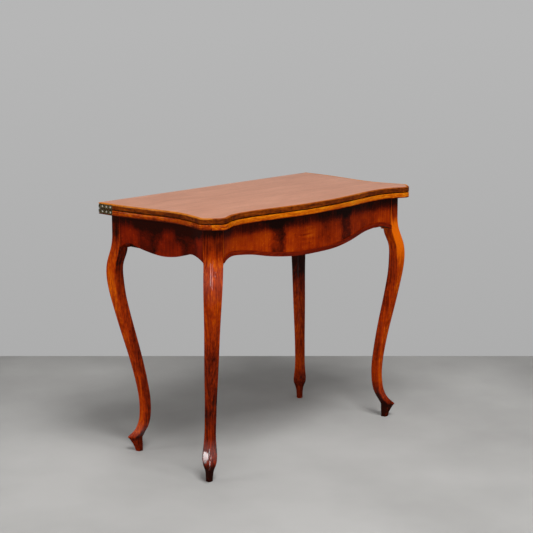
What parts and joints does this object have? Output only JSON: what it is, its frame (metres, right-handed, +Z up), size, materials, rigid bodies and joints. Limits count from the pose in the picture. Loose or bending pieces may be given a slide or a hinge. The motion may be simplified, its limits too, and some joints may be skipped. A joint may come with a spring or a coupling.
{
  "type": "folding card table",
  "caption": "Swivel-top card table: serpentine top hinged into leaves that unfold over a shaped frame on slender cabriole legs.",
  "frame": {"origin": "on the floor, under the middle of the closed table's bounding box", "axes": "+X to the right of someone facing the front, +Y to the back, where the leaves are hinged, +Z up"},
  "size_m": [0.886, 0.4643, 0.74],
  "materials": {
    "polished_wood": "glossy polish over red-brown wood",
    "figured_veneer": "glossy polish over figured veneer",
    "carcase_wood": "bare planed wood",
    "aged_brass": "tarnished",
    "worn_steel": "worn",
    "green_baize": "felted wool"
  },
  "bodies": {
    "frame": {"leg_front_left": "polished_wood", "leg_front_right": "polished_wood", "leg_back_left": "polished_wood", "leg_back_right": "polished_wood", "front_apron": "carcase_wood", "front_veneer_left": "figured_veneer", "front_veneer_right": "figured_veneer", "front_bead": "polished_wood", "side_apron_left": "polished_wood", "side_apron_right": "polished_wood", "back_rail": "carcase_wood", "pivot_rail": "carcase_wood", "pivot_bushing": "aged_brass", "well_bottom": "carcase_wood", "well_divider": "carcase_wood", "well_cleats": "carcase_wood", "cleat_screws": "worn_steel", "corner_blocks": "carcase_wood"},
    "lower_leaf_body": {"lower_leaf": "figured_veneer", "lower_front_lipping": "polished_wood", "lower_left_lipping": "polished_wood", "lower_right_lipping": "polished_wood", "lower_baize": "green_baize", "lower_hinge_plate_left": "aged_brass", "lower_hinge_plate_right": "aged_brass", "lower_hinge_pins": "worn_steel", "lower_hinge_screws": "worn_steel", "pivot_flange": "worn_steel", "flange_screws": "worn_steel", "pivot_washer": "worn_steel", "pivot_nut": "worn_steel", "stop_dowel": "carcase_wood"},
    "hinge_links": {"hinge_link_left": "worn_steel", "hinge_link_right": "worn_steel"},
    "upper_leaf_body": {"upper_leaf": "figured_veneer", "upper_front_lipping": "polished_wood", "upper_left_lipping": "polished_wood", "upper_right_lipping": "polished_wood", "upper_baize": "green_baize", "upper_hinge_plate_left": "aged_brass", "upper_hinge_plate_right": "aged_brass", "upper_hinge_pins": "worn_steel", "upper_hinge_screws": "worn_steel"}
  },
  "joints": [
    {"name": "top_swivel", "type": "hinge", "parent": "frame", "child": "lower_leaf_body", "pos_m": [0.11332, 0.1078, 0.7076], "axis": [0, 0, 1], "range_deg": [0, 90]},
    {"name": "link_fold", "type": "hinge", "parent": "lower_leaf_body", "child": "hinge_links", "pos_m": [0, 0.21708, 0.7198], "axis": [-1, 0, 0], "range_deg": [0, 90]},
    {"name": "leaf_fold", "type": "hinge", "parent": "hinge_links", "child": "upper_leaf_body", "pos_m": [0, 0.21708, 0.7282], "axis": [-1, 0, 0], "range_deg": [0, 90]}
  ],
  "couplings": [
    {"joint": "leaf_fold", "follows": "link_fold", "ratio": 1}
  ]
}
